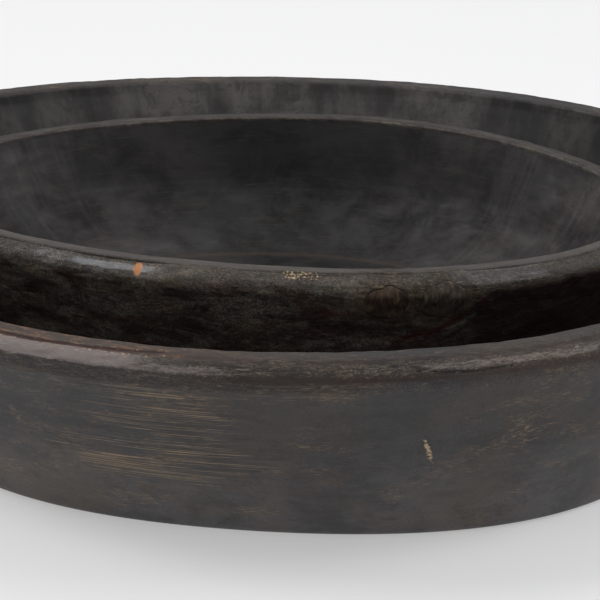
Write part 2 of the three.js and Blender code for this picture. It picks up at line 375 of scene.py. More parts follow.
class Nodes:
    """Short names for building a material's nodes."""

    def __init__(self, name):
        self.material = bpy.data.materials.new(name)
        self.material.use_nodes = True
        self.tree = self.material.node_tree
        self.shader = self.tree.nodes["Principled BSDF"]
        self.place = self.add("ShaderNodeTexCoord").outputs["Object"]

    def add(self, kind, **settings):
        node = self.tree.nodes.new(kind)
        for key, value in settings.items():
            setattr(node, key, value)
        return node

    def join(self, value, socket):
        if isinstance(value, bpy.types.NodeSocket):
            self.tree.links.new(value, socket)
        else:
            socket.default_value = value

    def math(self, operation, a, b=0.0, c=0.0):
        node = self.add("ShaderNodeMath", operation=operation)
        for value, socket in zip((a, b, c), node.inputs):
            self.join(value, socket)
        return node.outputs[0]

    def times(self, a, b):
        return self.math("MULTIPLY", a, b)

    def scaled(self, value, by, plus):
        """The value times by, and then plus added."""
        return self.math("MULTIPLY_ADD", value, by, plus)

    def mask(self, name):
        return self.add("ShaderNodeAttribute", attribute_name=name).outputs["Fac"]

    def skin(self):
        """Places on the unrolled skin of a bowl: round it in X and Y, and up its profile in Z."""
        return self.add("ShaderNodeAttribute", attribute_name="skin").outputs["Vector"]

    def noise(self, scale, stretch=(1, 1, 1), detail=4.0, rough=0.6, warp=0.0, place=None, shift=0):
        """Noise with scale features a metre, squeezed along each axis by stretch."""
        move = self.add("ShaderNodeMapping")
        move.inputs["Scale"].default_value = stretch
        move.inputs["Location"].default_value = (shift, 0.7 * shift, 0.4 * shift)
        self.join(self.place if place is None else place, move.inputs["Vector"])
        node = self.add("ShaderNodeTexNoise")
        self.join(move.outputs[0], node.inputs["Vector"])
        node.inputs["Scale"].default_value = scale
        node.inputs["Detail"].default_value = detail
        node.inputs["Roughness"].default_value = rough
        node.inputs["Distortion"].default_value = warp
        return node.outputs["Fac"]

    def fade(self, distance, near, far, ragged=0.0, scale=900):
        """1 within near millimetres of a line, 0 past far. ragged makes its edge uneven."""
        if ragged:
            distance = self.scaled(self.noise(scale, detail=3), ragged, distance)
            near, far = near + ragged / 2.0, far + ragged / 2.0
        return self.ramp(distance, far, near)

    def ramp(self, value, low, high):
        """0 below low, 1 above high."""
        node = self.add("ShaderNodeMapRange", interpolation_type="SMOOTHSTEP")
        self.join(value, node.inputs["Value"])
        node.inputs["From Min"].default_value = low
        node.inputs["From Max"].default_value = high
        return node.outputs["Result"]

    def blend(self, share, a, b):
        """Colour a where share is 0, and b where it is 1."""
        node = self.add("ShaderNodeMix", data_type="RGBA")
        for value, number in ((share, 0), (a, 6), (b, 7)):  # its factor and its two colours
            self.join(value, node.inputs[number])
        return node.outputs[2]

    def over(self, colour, mask, strength, tone):
        """The colour with the tone laid over it where mask is, as strong as strength."""
        return self.blend(self.times(mask, strength), colour, tone)

    def roughened(self, rough, changes):
        """The roughness, changed by each (mask, amount)."""
        for mask, amount in changes:
            rough = self.scaled(mask, amount, rough)
        return rough

    def shade(self, colour, value):
        """The colour, times a value."""
        node = self.add("ShaderNodeVectorMath", operation="SCALE")
        self.join(colour, node.inputs[0])
        self.join(value, node.inputs["Scale"])
        return node.outputs[0]

    def crisp(self, colour, share, scale=1700, shift=0):
        """The colour with fine crunchy light and dark in it, as strong as share."""
        fine = self.noise(scale, detail=4, rough=0.8, shift=shift)
        swing = self.scaled(self.ramp(fine, 0.36, 0.64), 1.5, -0.75)
        return self.shade(colour, self.scaled(swing, share, 1.0))

    def bump(self, height, distance, strength, under=None):
        """A bump of so many millimetres, on top of the one that is under it."""
        node = self.add("ShaderNodeBump")
        node.inputs["Distance"].default_value = distance * MM
        node.inputs["Strength"].default_value = strength
        self.join(height, node.inputs["Height"])
        if under is not None:
            self.join(under, node.inputs["Normal"])
        return node.outputs["Normal"]

    def finish(self, colour, roughness, normal, specular):
        self.join(colour, self.shader.inputs["Base Color"])
        self.join(roughness, self.shader.inputs["Roughness"])
        self.join(normal, self.shader.inputs["Normal"])
        self.shader.inputs["Specular IOR Level"].default_value = specular
        return self.material


def rgb(red, green, blue):
    """An sRGB colour of 0 to 255 as linear numbers."""
    def line(value):
        share = value / 255.0
        return share / 12.92 if share <= 0.04045 else ((share + 0.055) / 1.055) ** 2.4
    return (line(red), line(green), line(blue), 1.0)


UP = (1.0, 1.0, 0.12)  # on the skin, noise drawn out up the wall
GRAIN = (0.14, 1.0, 1.0)  # the wood's grain runs along X
TAN = rgb(176, 140, 98)
PALE_TAN = rgb(206, 178, 138)
ORANGE = rgb(176, 116, 70)
BLACK = rgb(14, 9, 9)
SCRATCH = rgb(142, 120, 92)
OUTER_TONES = dict(
    dark=rgb(38, 36, 38), light=rgb(60, 58, 59), brown=rgb(66, 56, 47), spots=rgb(34, 29, 27),
    inside_dark=rgb(24, 22, 22), inside_light=rgb(58, 55, 54), inside_streak=rgb(80, 76, 74),
    inside_spots=rgb(26, 23, 23), grain=rgb(24, 21, 21), scuff=rgb(132, 108, 80),
    under_fibre=rgb(54, 45, 41), fibre=rgb(140, 122, 104), fibre_gap=rgb(24, 14, 13),
    tawny=rgb(58, 46, 40), rust=rgb(120, 84, 58), seam=rgb(44, 26, 20), polish_and_highlight=rgb(152, 139, 134),
    fibre_and_glint=rgb(160, 142, 120), fleck=rgb(214, 168, 110), crack=rgb(52, 22, 16),
    nick=rgb(170, 150, 116),
)
INNER_TONES = dict(
    dark=rgb(54, 40, 37), light=rgb(84, 80, 74), pale=rgb(98, 87, 74), deep=rgb(34, 19, 18),
    painted_right_shade=rgb(38, 20, 22), knot_dark=rgb(58, 44, 37), knot_light=rgb(98, 84, 70),
    inside_dark=rgb(9, 7, 8), inside_light=rgb(30, 27, 27), inside_streak=rgb(60, 56, 55),
    inside_grain=rgb(11, 9, 10), ring=rgb(92, 70, 54), wedge=rgb(58, 56, 57),
    worn=rgb(150, 134, 106), red=rgb(64, 13, 16), crescent=rgb(124, 126, 112),
    fibre=rgb(140, 122, 98), low=rgb(32, 18, 19), painted_highlight=rgb(142, 146, 152),
    shaded_lip_back=rgb(30, 28, 28), lip_front=rgb(64, 60, 58),
)
KNOT_TONES = {
    "inner_knot_left": (rgb(60, 46, 39), rgb(80, 65, 53), rgb(112, 94, 74)),
    "inner_knot_right": (rgb(58, 50, 45), rgb(84, 75, 67), rgb(118, 104, 88)),
}
KNOT_GAP = rgb(24, 14, 13)


def mottle(n, colour, share, tan=TAN):
    """Fine pale flecks and dark pits in a worn skin, as strong as share."""
    cloud = n.ramp(n.noise(150, detail=4, shift=3), 0.44, 0.66)
    fleck = n.times(n.ramp(n.noise(1700, detail=5, rough=0.8, shift=5), 0.55, 0.68), cloud)
    pit = n.ramp(n.noise(1100, detail=4, rough=0.75, shift=7), 0.52, 0.64)
    colour = n.over(colour, pit, n.times(share, 0.7), BLACK)
    return n.over(colour, fleck, n.times(share, 0.5), tan)


def scratches(n, skin, colour, amount, shift=0):
    """Fine pale tool scratches round the bowl, where the dark skin is worn through."""
    lines = n.noise(2100, (0.009, 0.009, 1.0), detail=1, rough=0.5, place=skin, shift=shift)
    thin = n.times(n.ramp(lines, 0.55, 0.6), n.ramp(lines, 0.72, 0.66))
    broken = n.noise(420, (0.12, 0.12, 1.0), detail=5, rough=0.8, place=skin, shift=shift + 2)
    broken = n.scaled(amount, 0.14, broken)
    worn = n.times(n.times(thin, n.ramp(broken, 0.5, 0.62)), n.math("POWER", amount, 0.5))
    return n.over(colour, worn, 0.78, SCRATCH), lines


def outer_wall(n, skin, cloud, spots):
    """The large bowl's outside: clouded and spotted, brown in places, paler near the base.

    The paler base is painted light from the floor.
    """
    tone = OUTER_TONES
    broad = n.noise(24, detail=5, shift=1)
    fine = n.noise(900, (0.06, 0.06, 1.0), detail=4, rough=0.7, place=skin, shift=3)
    colour = n.blend(n.ramp(cloud, 0.38, 0.64), tone["dark"], tone["light"])
    colour = n.over(colour, n.ramp(broad, 0.44, 0.6), 0.5, tone["brown"])
    colour = n.over(colour, n.ramp(spots, 0.5, 0.64), 0.5, tone["spots"])
    swing = n.times(n.mask("scratched"), 0.2)
    swing = n.times(swing, n.scaled(n.ramp(fine, 0.38, 0.64), 2.0, -1.0))
    # the low mask paints light from the floor, paler towards the base
    return n.shade(colour, n.math("ADD", swing, n.scaled(n.mask("low"), 0.95, 0.8)))


def outer_hollow(n, skin, spots):
    """The large bowl's inside: cloudy and faintly streaked, darker at its two ends.

    The darker ends are painted shade.
    """
    tone = OUTER_TONES
    area = n.noise(42, (1, 1, 0.5), detail=5, place=skin, shift=9)
    streak = n.noise(200, UP, detail=4, rough=0.6, place=skin, shift=4)
    colour = n.blend(n.ramp(area, 0.38, 0.62), tone["inside_dark"], tone["inside_light"])
    colour = n.over(colour, n.ramp(streak, 0.5, 0.8), 0.12, tone["inside_streak"])
    colour = n.over(colour, n.ramp(spots, 0.5, 0.6), 0.6, tone["inside_spots"])
    # painted shade: darker towards the two ends than in the middle
    return n.shade(colour, n.math("MAXIMUM", n.scaled(n.mask("ends"), -2.4, 2.1), 0.5))


def outer_scuffs(n, skin, colour, outside):
    """Tan scuffs, in patches on the outside."""
    area = n.noise(70, (0.4, 0.4, 1.0), detail=6, rough=0.75, place=skin, shift=6)
    dust = n.noise(1300, (0.2, 0.2, 1.0), detail=5, rough=0.8, place=skin)
    scuffs = n.times(n.times(n.ramp(area, 0.48, 0.6), n.ramp(dust, 0.5, 0.6)), n.mask("scuffed"))
    return n.over(colour, n.times(scuffs, outside), 0.9, OUTER_TONES["scuff"])


def outer_rim(n, skin, colour, fibre):
    """Torn fibres, tawny and rusty wear, brown seams and a ragged polished band on the rim.

    The polished band is real wear that is also painted pale as a highlight, and pale fibre specks
    on the shoulder are also painted glints.
    """
    tone = OUTER_TONES
    fibrous = n.mask("fibrous")
    tawny = n.mask("tawny")
    colour = n.over(colour, fibrous, 0.5, tone["under_fibre"])
    colour = n.over(colour, n.times(n.ramp(fibre, 0.52, 0.6), fibrous), 0.6, tone["fibre"])
    colour = n.over(colour, n.times(n.ramp(fibre, 0.47, 0.39), fibrous), 0.85, tone["fibre_gap"])
    colour = n.over(colour, tawny, 0.6, tone["tawny"])
    rusty = n.noise(700, (0.25, 0.25, 1.0), detail=5, rough=0.8, place=skin, shift=11)
    colour = n.over(colour, n.times(tawny, n.ramp(rusty, 0.52, 0.62)), 0.7, tone["rust"])
    seam = n.times(n.mask("seam"), n.ramp(fibre, 0.42, 0.5))
    colour = n.over(colour, seam, 0.85, tone["seam"])
    # the polished band: real wear whose pale colour is also a painted highlight
    ragged = n.scaled(n.math("SUBTRACT", fibre, 0.5), 2.2, n.mask("polished"))
    polished = n.ramp(ragged, 0.3, 0.85)
    colour = n.over(colour, polished, 0.46, tone["polish_and_highlight"])
    # pale fibre specks on the worn shoulder at the front right, which are also painted glints
    bright = n.noise(1500, (0.4, 0.4, 1.0), detail=4, rough=0.85, place=skin, shift=14)
    fibres_and_glints = n.times(n.mask("crunchy"), n.ramp(bright, 0.55, 0.66))
    return n.over(colour, fibres_and_glints, 0.5, tone["fibre_and_glint"]), polished


def outer_marks(n, skin, colour):
    """The crack along the lip with flecks beside it, the split in the rim, and the nick."""
    tone = OUTER_TONES
    crack_off = n.mask("crack_off")
    speck = n.noise(1100, (0.35, 0.35, 1.0), detail=4, rough=0.8, place=skin, shift=2)
    flecks = n.times(n.ramp(speck, 0.59, 0.65), n.fade(crack_off, 0.8, 4.5))
    colour = n.over(colour, flecks, 0.9, tone["fleck"])
    crack = n.fade(crack_off, 0.45, 1.05, 1.6)
    colour = n.over(colour, crack, 0.9, tone["crack"])
    split = n.fade(n.mask("split_off"), 0.0, 0.4, 1.6)
    colour = n.over(colour, split, 0.9, BLACK)
    nick = n.fade(n.mask("nick_off"), 0.0, 0.6, 3.4, 700)
    colour = n.over(colour, nick, 0.9, tone["nick"])
    return colour, n.math("MAXIMUM", crack, split)


def outer_wood():
    n = Nodes("outer_wood")
    skin = n.skin()
    inside = n.mask("inside")
    outside = n.scaled(inside, -1.0, 1.0)
    cloud = n.noise(60, (0.5, 0.5, 1.0), detail=5, rough=0.65, place=skin)
    spots = n.noise(95, detail=6, rough=0.75, warp=0.6, shift=12)
    grain = n.noise(520, GRAIN, detail=5, rough=0.7)
    fibre = n.noise(900, (0.25, 0.25, 1.0), detail=7, rough=0.88, warp=0.9, place=skin, shift=8)
    colour = n.blend(inside, outer_wall(n, skin, cloud, spots), outer_hollow(n, skin, spots))
    colour = n.over(colour, n.ramp(grain, 0.48, 0.7), 0.2, OUTER_TONES["grain"])
    crunchy = n.scaled(outside, 0.2, 0.06)
    colour = n.crisp(colour, n.scaled(n.mask("rim"), 0.55, crunchy))
    colour = mottle(n, colour, n.scaled(n.mask("rim"), 0.3, crunchy))
    colour, lines = scratches(n, skin, colour, n.times(n.mask("scratched"), outside))
    colour = outer_scuffs(n, skin, colour, outside)
    colour, polished = outer_rim(n, skin, colour, fibre)
    colour, cracks = outer_marks(n, skin, colour)
    rough = n.roughened(n.scaled(cloud, 0.3, 0.38), [
        (n.mask("fibrous"), 0.1), (n.mask("lip"), 0.16), (polished, -0.33), (inside, 0.08),
        (n.mask("ends"), 0.25),
    ])
    normal = n.bump(grain, 0.15, 0.4)
    normal = n.bump(n.times(lines, n.mask("scratched")), 0.22, 0.7, normal)
    normal = n.bump(n.times(fibre, n.scaled(n.mask("fibrous"), 0.95, 0.06)), 0.8, 1.0, normal)
    normal = n.bump(n.noise(1700, detail=4, rough=0.75), 0.09, 0.5, normal)
    normal = n.bump(cracks, -0.5, 0.8, normal)
    return n.finish(colour, rough, normal, 0.42)


def inner_wall(n, skin, cloud, patches):
    """The small bowl's outside: patchy and uneven, dark on the right, browner at the knots.

    The dark right side is painted shade.
    """
    tone = INNER_TONES
    flow = n.noise(330, (0.3, 0.3, 1.0), detail=6, rough=0.8, warp=1.2, place=skin)
    colour = n.blend(n.ramp(cloud, 0.42, 0.6), tone["dark"], tone["light"])
    colour = n.over(colour, n.ramp(patches, 0.5, 0.62), 0.7, tone["pale"])
    colour = n.over(colour, n.ramp(patches, 0.47, 0.38), 0.8, tone["deep"])
    colour = n.shade(colour, n.scaled(n.ramp(flow, 0.38, 0.62), 0.85, 0.75))
    # painted shade on the right side of the wall, below the shoulder
    colour = n.over(colour, n.mask("dark"), 0.85, tone["painted_right_shade"])
    by_knot = n.blend(n.ramp(patches, 0.4, 0.6), tone["knot_dark"], tone["knot_light"])
    colour = n.over(colour, n.ramp(n.mask("knotty"), 0.2, 0.9), 0.85, by_knot)
    return n.shade(colour, n.scaled(n.mask("shoulder"), -0.76, 1.0))


def inner_hollow(n, skin, streak):
    """The small bowl's inside: near black, paler at its two ends, with a faint worn ring.

    The paler ends, and the faint streaks there, are painted light.
    """
    tone = INNER_TONES
    area = n.noise(44, (0.6, 0.6, 1.0), detail=6, place=skin, shift=9)
    along = n.noise(260, GRAIN, detail=6, rough=0.7, shift=6)
    ends = n.mask("ends")
    colour = n.blend(n.ramp(area, 0.38, 0.64), tone["inside_dark"], tone["inside_light"])
    # painted light: faint streaks and a paler tone towards the two ends
    colour = n.over(colour, n.ramp(streak, 0.5, 0.68), n.times(ends, 0.16), tone["inside_streak"])
    colour = n.over(colour, n.ramp(along, 0.5, 0.64), 0.5, tone["inside_grain"])
    colour = n.shade(colour, n.scaled(ends, 3.2, 0.6))
    return n.over(colour, n.mask("ring"), 0.22, tone["ring"])


def inner_marks(n, skin, colour, fibre, patches):
    """A painted dark red shadow below the right knot, a pale painted highlight in a crescent under
    it, frayed fibres, and painted shade that darkens the foot of the wall.
    """
    tone = INNER_TONES
    # painted shadow: dark red with a ragged edge, below the right knot
    shadow_edge_noise = n.noise(600, (0.5, 0.5, 1), detail=6, rough=0.85, place=skin, shift=15)
    colour = n.over(colour, n.mask("red"), n.times(n.ramp(shadow_edge_noise, 0.36, 0.48), 0.9), tone["red"])
    # painted highlight: a pale crescent, broken up by noise
    highlight_breakup = n.noise(420, (0.5, 0.5, 1), detail=4, place=skin)
    crescent = n.times(n.mask("crescent"), n.ramp(highlight_breakup, 0.3, 0.6))
    colour = n.over(colour, crescent, 0.75, tone["crescent"])
    fibres = n.times(n.ramp(fibre, 0.52, 0.62), n.mask("fibrous"))
    colour = n.over(colour, fibres, 0.55, tone["fibre"])
    # painted shade at the foot of the wall
    low = n.times(n.mask("low"), n.ramp(patches, 0.3, 0.55))
    return n.over(colour, low, 0.4, tone["low"])


def inner_rim(n, colour, fibre):
    """A pale painted highlight on the left shoulder, the flat lip with painted shade darkening its
    back half, the orange chip and the golden flecks of the rim.
    """
    tone = INNER_TONES
    # painted highlight: a pale streak on the left shoulder
    painted_highlight = n.scaled(n.math("SUBTRACT", fibre, 0.5), 2.6, n.mask("painted_highlight"))
    colour = n.over(colour, n.ramp(painted_highlight, 0.35, 1.1), 0.5, tone["painted_highlight"])
    # painted shade: the lip's back half is darker than its front
    lip = n.blend(n.mask("front"), tone["shaded_lip_back"], tone["lip_front"])
    colour = n.over(colour, n.mask("lip"), 0.7, lip)
    colour = n.blend(n.fade(n.mask("chip_off"), 0.1, 0.7, 0.9, 500), colour, ORANGE)
    golden = n.noise(1100, detail=3, rough=0.8, shift=3)
    return n.blend(n.times(n.ramp(golden, 0.52, 0.6), n.mask("gold")), colour, PALE_TAN)


def inner_wood():
    n = Nodes("inner_wood")
    skin = n.skin()
    inside = n.mask("inside")
    lip = n.mask("lip")
    wedge = n.mask("wedge")
    polished = n.mask("polished")
    cloud = n.noise(75, (0.5, 0.5, 1.0), detail=7, rough=0.72, warp=0.6, place=skin, shift=1)
    patches = n.noise(120, (0.45, 0.45, 1.0), detail=7, rough=0.75, warp=0.9, place=skin, shift=2)
    streak = n.noise(150, UP, detail=4, rough=0.6, place=skin, shift=4)
    fibre = n.noise(1000, (0.2, 0.2, 1.0), detail=6, rough=0.8, warp=0.8, place=skin, shift=8)
    colour = n.blend(inside, inner_wall(n, skin, cloud, patches), inner_hollow(n, skin, streak))
    colour = n.over(colour, wedge, 0.9, INNER_TONES["wedge"])
    smoothed = n.math("MAXIMUM", lip, wedge)
    rugged = n.times(n.scaled(inside, -1.0, 1.0), n.scaled(smoothed, -0.9, 1.0))
    colour = n.crisp(colour, n.scaled(rugged, 0.75, 0.1), 1300)
    colour = mottle(n, colour, n.scaled(rugged, 0.4, 0.05), INNER_TONES["worn"])
    colour = inner_marks(n, skin, colour, fibre, patches)
    colour = inner_rim(n, colour, fibre)
    colour, _ = scratches(n, skin, colour, n.mask("scored"), 5)
    worn = n.noise(40, detail=7, rough=0.7, warp=0.5, shift=16)
    worn = n.scaled(n.math("SUBTRACT", worn, 0.45), 0.9, 0.1)
    rough = n.roughened(n.scaled(n.ramp(cloud, 0.35, 0.65), 0.26, 0.26), [
        (inside, 0.06), (n.mask("knotty"), 0.3), (inside, worn), (lip, 0.24), (polished, -0.3),
    ])
    crunch = n.times(rugged, n.scaled(polished, -0.85, 1.0))
    grain = n.noise(620, (0.3, 1.0, 1.0), detail=5, rough=0.75, warp=0.4)
    normal = n.bump(n.times(grain, crunch), 0.45, 0.8)
    normal = n.bump(n.times(n.noise(1500, detail=5, rough=0.78), crunch), 0.3, 0.9, normal)
    normal = n.bump(n.times(fibre, n.mask("fibrous")), 0.6, 0.9, normal)
    normal = n.bump(streak, 0.1, 0.3, normal)
    return n.finish(colour, rough, normal, 0.34)


def knot_wood(name, dark, light, fleck):
    n = Nodes(name)
    streaks = n.noise(520, (1, 1, 0.22), detail=6, rough=0.75, warp=0.5)
    broad = n.noise(170, detail=5, warp=0.6)
    colour = n.blend(n.ramp(broad, 0.36, 0.62), dark, light)
    colour = n.over(colour, n.ramp(streaks, 0.5, 0.66), 0.65, fleck)
    colour = n.over(colour, n.ramp(streaks, 0.44, 0.34), 0.55, KNOT_GAP)
    rough = n.scaled(broad, 0.2, 0.6)
    normal = n.bump(streaks, 0.5, 0.9)
    return n.finish(colour, rough, normal, 0.3)


def floor_paper():
    n = Nodes("floor_paper")
    colour = n.blend(n.noise(3, detail=2), (0.5, 0.5, 0.505, 1.0), (0.52, 0.52, 0.525, 1.0))
    n.shader.inputs["Emission Color"].default_value = (1.0, 1.0, 1.0, 1.0)
    n.shader.inputs["Emission Strength"].default_value = 0.37
    return n.finish(colour, 0.9, n.bump(n.noise(900, detail=2), 0.02, 0.2), 0.1)


# Bowls ---------------------------------------------------------------------------------------

# Stripes round a bowl are (mask, strength, band in millimetres, sector in degrees), the last two
# as Surface.band and Surface.between take them. Patches are (mask, strength, what patch takes).
OUTER_STRIPES = [
    ("rim", 0.6, (-2.0, 10.0, 2.0), (-150.0, -98.0, 8.0)),
    ("tawny", 1.0, (-1.5, 8.0, 2.0), (-150.0, -98.0, 8.0)),
    # the polished stripes are real wear, and are also painted pale as a highlight
    ("polished", 1.0, (-7.0, -3.0, 2.0), (-160.0, -108.0, 10.0)),
    ("polished", 0.6, (-7.5, -5.5, 1.5), (-108.0, -97.0, 6.0)),
    ("polished", 0.55, (-6.6, -4.6, 1.2), (-74.0, -30.0, 10.0)),
    ("fibrous", 1.0, (-9.0, -1.5, 2.0), (-96.0, -76.0, 6.0)),
    ("fibrous", 0.6, (-8.5, -1.0, 2.0), (-76.0, -40.0, 10.0)),
    ("fibrous", 0.35, (-11.0, -1.0, 3.0), (-125.0, -96.0, 6.0)),
    ("fibrous", 0.6, (-13.0, -8.5, 2.5), (-130.0, -84.0, 6.0)),
    ("fibrous", 0.5, (-2.0, 2.0, 3.0), (-100.0, -38.0, 8.0)),
    ("seam", 1.0, (-9.6, -8.0, 0.8), (-92.0, -40.0, 8.0)),
    ("seam", 0.7, (-2.6, -1.4, 0.8), (-84.0, -50.0, 8.0)),
    # the next stripe marks pale fibre specks on the shoulder, which are also painted glints
    ("crunchy", 1.0, (-8.0, -3.5, 1.5), (-82.0, -30.0, 8.0)),
    ("scratched", 0.15, (-18.0, -11.0, 3.0), (-118.0, -88.0, 6.0)),
]
OUTER_PATCHES = [
    ("scratched", 0.8, (-102.0, 58.0, 44.0, 26.0, 0.5)),
    ("scratched", 1.0, (-104.0, 36.0, 70.0, 22.0, 0.4)),
    ("scuffed", 1.0, (-68.0, 22.0, 90.0, 16.0, 0.6)),
    ("scuffed", 0.8, (-101.0, 13.0, 80.0, 13.0, 0.6)),
    ("scuffed", 0.8, (-64.0, 46.0, 36.0, 16.0, 0.6)),
]
INNER_STRIPES = [
    ("polished", 1.0, (-7.0, -3.0, 2.0), (-135.0, -113.0, 5.0)),
    ("polished", 1.0, (-8.0, -3.0, 2.0), (-83.0, -77.0, 3.0)),
    ("polished", 0.7, (-7.0, -1.5, 1.0), (-56.0, -45.0, 5.0)),
    ("wedge", 1.0, (-7.0, -1.0, 1.0), (-56.5, -45.0, 4.0)),
    # the next stripe is a pale highlight painted on the left shoulder
    ("painted_highlight", 1.0, (-6.0, -4.4, 1.4), (-127.0, -116.0, 6.0)),
    ("gold", 1.0, (-4.0, -1.0, 1.0), (-88.0, -83.0, 1.5)),
]
INNER_PATCHES = [
    ("red", 0.65, (-79.5, 66.0, 12.0, 3.0, 0.7)),
    ("fibrous", 1.0, (-90.5, 54.0, 46.0, 16.0, 0.6)),
    ("fibrous", 0.8, (-64.0, 69.0, 56.0, 20.0, 0.6)),
]
# Lines along a bowl: the first two are (degrees, out), the others (degrees, height).
CRACK = [(-138.0, -0.4), (-126.0, -1.0), (-118.7, -1.3), (-112.0, -1.2), (-105.0, -0.7),
         (-101.5, 0.4)]
SPLIT = [(-77.0, -6.4), (-74.0, -7.6), (-71.3, -8.0), (-67.3, -7.2)]
# The next line is where a dark red shadow is painted below the right knot, and CRESCENT where a pale
# highlight is painted beside it.
RED_SHADOW = [(-67.0, 54.5), (-61.0, 56.5), (-57.6, 60.5), (-55.6, 64.5), (-53.6, 70.0)]
CRESCENT = [(-58.4, 56.6), (-57.0, 57.8), (-55.6, 60.0), (-54.6, 62.6)]


def unevenness(place, layers):
    """A sum of noises, each (millimetres high, size of its features, seed)."""
    return sum(high * noise(place, size, seed) for high, size, seed in layers)


def spot(s, angle, out, wide, high, tilt):
    """Millimetres outside an oval spot of the wall, at most FAR. out is down from the lip."""
    x = np.radians(wrap(s.degrees - angle)) * np.hypot(s.flat[..., 0], s.flat[..., 1])
    y = s.out - out
    x = x - tilt * y
    far = np.hypot(x / (wide / 2), y / (high / 2)) - 1.0
    return np.minimum(far * min(wide, high) / 2, FAR)


def sink(s, name, spot_off):
    """Keeps the distances to a spot as a mask, and sinks the surface inside it."""
    s.values[name] = spot_off
    s.push(-0.3 * (1.0 - smooth(0.0, 1.0, spot_off)))


def shape_outer(s, wall, front):
    """Hand-cut unevenness and tool ripples on the wall, and a rougher rim."""
    place = s.flat
    s.push(wall * unevenness(place, [(0.4, 60.0, 1), (0.22, 21.0, 2)]))
    s.push(wall * 0.04 * noise(place, (30.0, 30.0, 1.8), 3))
    rim = s.band(-12.0, 8.0, 4.0)
    s.push(rim * unevenness(place, [(0.16, 9.0, 4), (0.1, 3.0, 5)]))
    s.push(front * s.band(-9.0, -1.0, 2.0) * 0.3 * noise(place, (6.0, 2.0, 1.4), 6))


def mark_outer(s, wall, front):
    """The masks by which the large bowl's material tells its places apart."""
    s.mask("rim", s.band(-13.0, 1.0, 3.0) * (0.35 + 0.65 * front))
    s.mask("lip", s.band(-1.0, OUTER["lip"] - 8.0, 2.0))
    s.mask("inside", smooth(0.0, 3.0, s.inside))
    s.mask("fibrous", 0.2 * s.band(-9.0, -1.0, 2.0))
    # painted light from the floor: paler towards the base of the outside
    s.mask("low", 1.0 - smooth(6.0, 50.0, s.flat[..., 2]))
    # painted shade: darker at the inside's two ends (also rougher there)
    s.mask("ends", (s.inside > 2.0) * np.abs(np.cos(s.angle)) ** 2)
    s.mask("scuffed", 0.5 * wall)
    for name, strength, band, sector in OUTER_STRIPES:
        s.mask(name, strength * s.band(*band) * s.between(*sector))
    for name, strength, patch in OUTER_PATCHES:
        s.mask(name, strength * s.patch(*patch))


def make_outer():
    angles = uneven_angles(columns=1050, close=1.6, middle=-90.0, reach=60.0)
    s = Surface(OUTER, outer_corners(OUTER), 0.5, angles)
    away = np.hypot(s.flat[..., 0], s.flat[..., 1])
    wall = smooth(4.0, 14.0, s.flat[..., 2]) * smooth(0.0, 20.0, away - 140.0)
    front = s.between(-112.0, -52.0, 10.0)
    shape_outer(s, wall, front)
    mark_outer(s, wall, front)
    crack, split = s.line(CRACK), s.line(SPLIT)
    s.push(-0.35 * (1.0 - smooth(0.2, 0.9, crack)) * s.between(-138.0, -103.0, 3.0))
    s.push(-0.4 * (1.0 - smooth(0.2, 0.9, split)))
    s.values["crack_off"] = crack
    s.values["split_off"] = split
    sink(s, "nick_off", spot(s, -74.8, -45.0, wide=0.9, high=5.0, tilt=-0.35))
    return s.build("large_bowl_wood")


def shape_inner(s, outside):
    """Hand-cut unevenness, a raised edge at the left of the lip, and a facet inside the right end."""
    place = s.flat
    level = place[..., 2]
    floor = OUTER["floor"] + 4.0
    wall = smooth(floor, floor + 10.0, level)
    s.push(wall * unevenness(place, [(0.35, 42.0, 11), (0.2, 15.0, 12)]))
    s.push(outside * wall * unevenness(place, [(0.5, 10.0, 13), (0.2, 3.4, 14)]))
    s.push(0.5 * s.band(-1.0, -0.2, 0.3) * s.between(-185.0, -114.0, 6.0))
    facet = np.radians(wrap(s.degrees - 7.0)) * 125.0 + 0.35 * (level - 66.0)
    ridge = np.exp(-((facet / 7.0) ** 2))
    s.push(smooth(2.0, 10.0, s.inside) * smooth(45.0, 60.0, level) * 0.7 * ridge)


